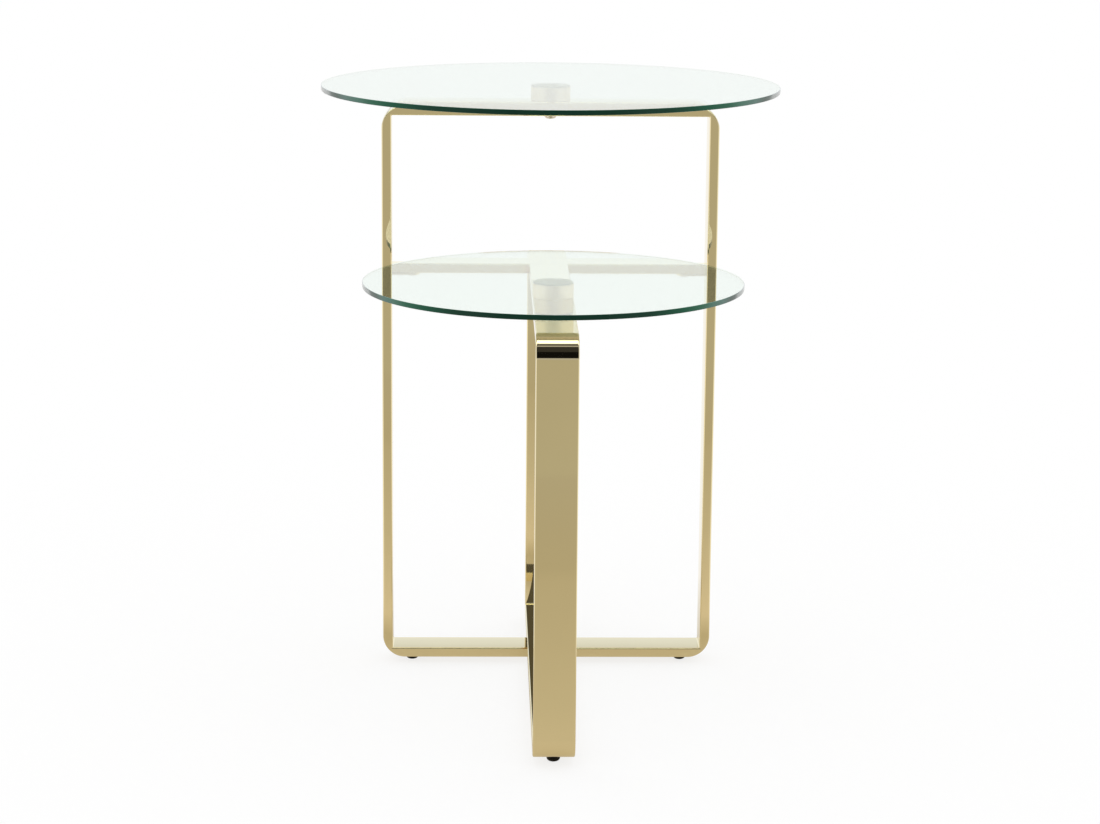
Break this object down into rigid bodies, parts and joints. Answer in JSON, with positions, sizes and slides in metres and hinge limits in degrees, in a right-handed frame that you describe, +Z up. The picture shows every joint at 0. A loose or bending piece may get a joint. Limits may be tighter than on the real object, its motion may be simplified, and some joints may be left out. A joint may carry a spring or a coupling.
{
  "type": "tiered side table",
  "caption": "Tiered side table: round clear glass tops at two heights, each on a round metal boss, carried by crossing closed loops of polished flat bar on domed feet",
  "frame": {"origin": "on the floor, under the middle of the table's outer box", "axes": "+Z up; +X to the right across the tall loop; +Y from the low loop's front leg to its back leg"},
  "size_m": [0.4649, 0.5935, 0.606],
  "materials": {
    "frame_brass": "polished",
    "screw_brass": "polished",
    "clear_glass": "polished",
    "bond": "satin",
    "glide": "satin",
    "stud_steel": "plated"
  },
  "bodies": {
    "table": {"tall_top_bar": "frame_brass", "tall_left_leg": "frame_brass", "tall_right_leg": "frame_brass", "tall_left_base_bar": "frame_brass", "tall_right_base_bar": "frame_brass", "low_front_leg": "frame_brass", "low_back_leg": "frame_brass", "low_base_bar": "frame_brass", "low_front_top_bar": "frame_brass", "low_rear_top_bar": "frame_brass", "cross_rail": "frame_brass", "left_rail_tab": "frame_brass", "right_rail_tab": "frame_brass", "upper_disc": "frame_brass", "lower_disc": "frame_brass", "left_rail_screw": "screw_brass", "right_rail_screw": "screw_brass", "upper_disc_screw": "screw_brass", "lower_disc_screw": "screw_brass", "upper_glass": "clear_glass", "lower_glass": "clear_glass", "upper_bond": "bond", "lower_bond": "bond"},
    "left_foot": {"left_foot_glide": "glide", "left_foot_stud": "stud_steel"},
    "right_foot": {"right_foot_glide": "glide", "right_foot_stud": "stud_steel"},
    "front_foot": {"front_foot_glide": "glide", "front_foot_stud": "stud_steel"},
    "back_foot": {"back_foot_glide": "glide", "back_foot_stud": "stud_steel"}
  },
  "joints": [
    {"name": "left_foot_level", "type": "slide", "parent": "table", "child": "left_foot", "axis": [0, 0, -1], "range_m": [0, 0.003]},
    {"name": "right_foot_level", "type": "slide", "parent": "table", "child": "right_foot", "axis": [0, 0, -1], "range_m": [0, 0.003]},
    {"name": "front_foot_level", "type": "slide", "parent": "table", "child": "front_foot", "axis": [0, 0, -1], "range_m": [0, 0.003]},
    {"name": "back_foot_level", "type": "slide", "parent": "table", "child": "back_foot", "axis": [0, 0, -1], "range_m": [0, 0.003]}
  ]
}
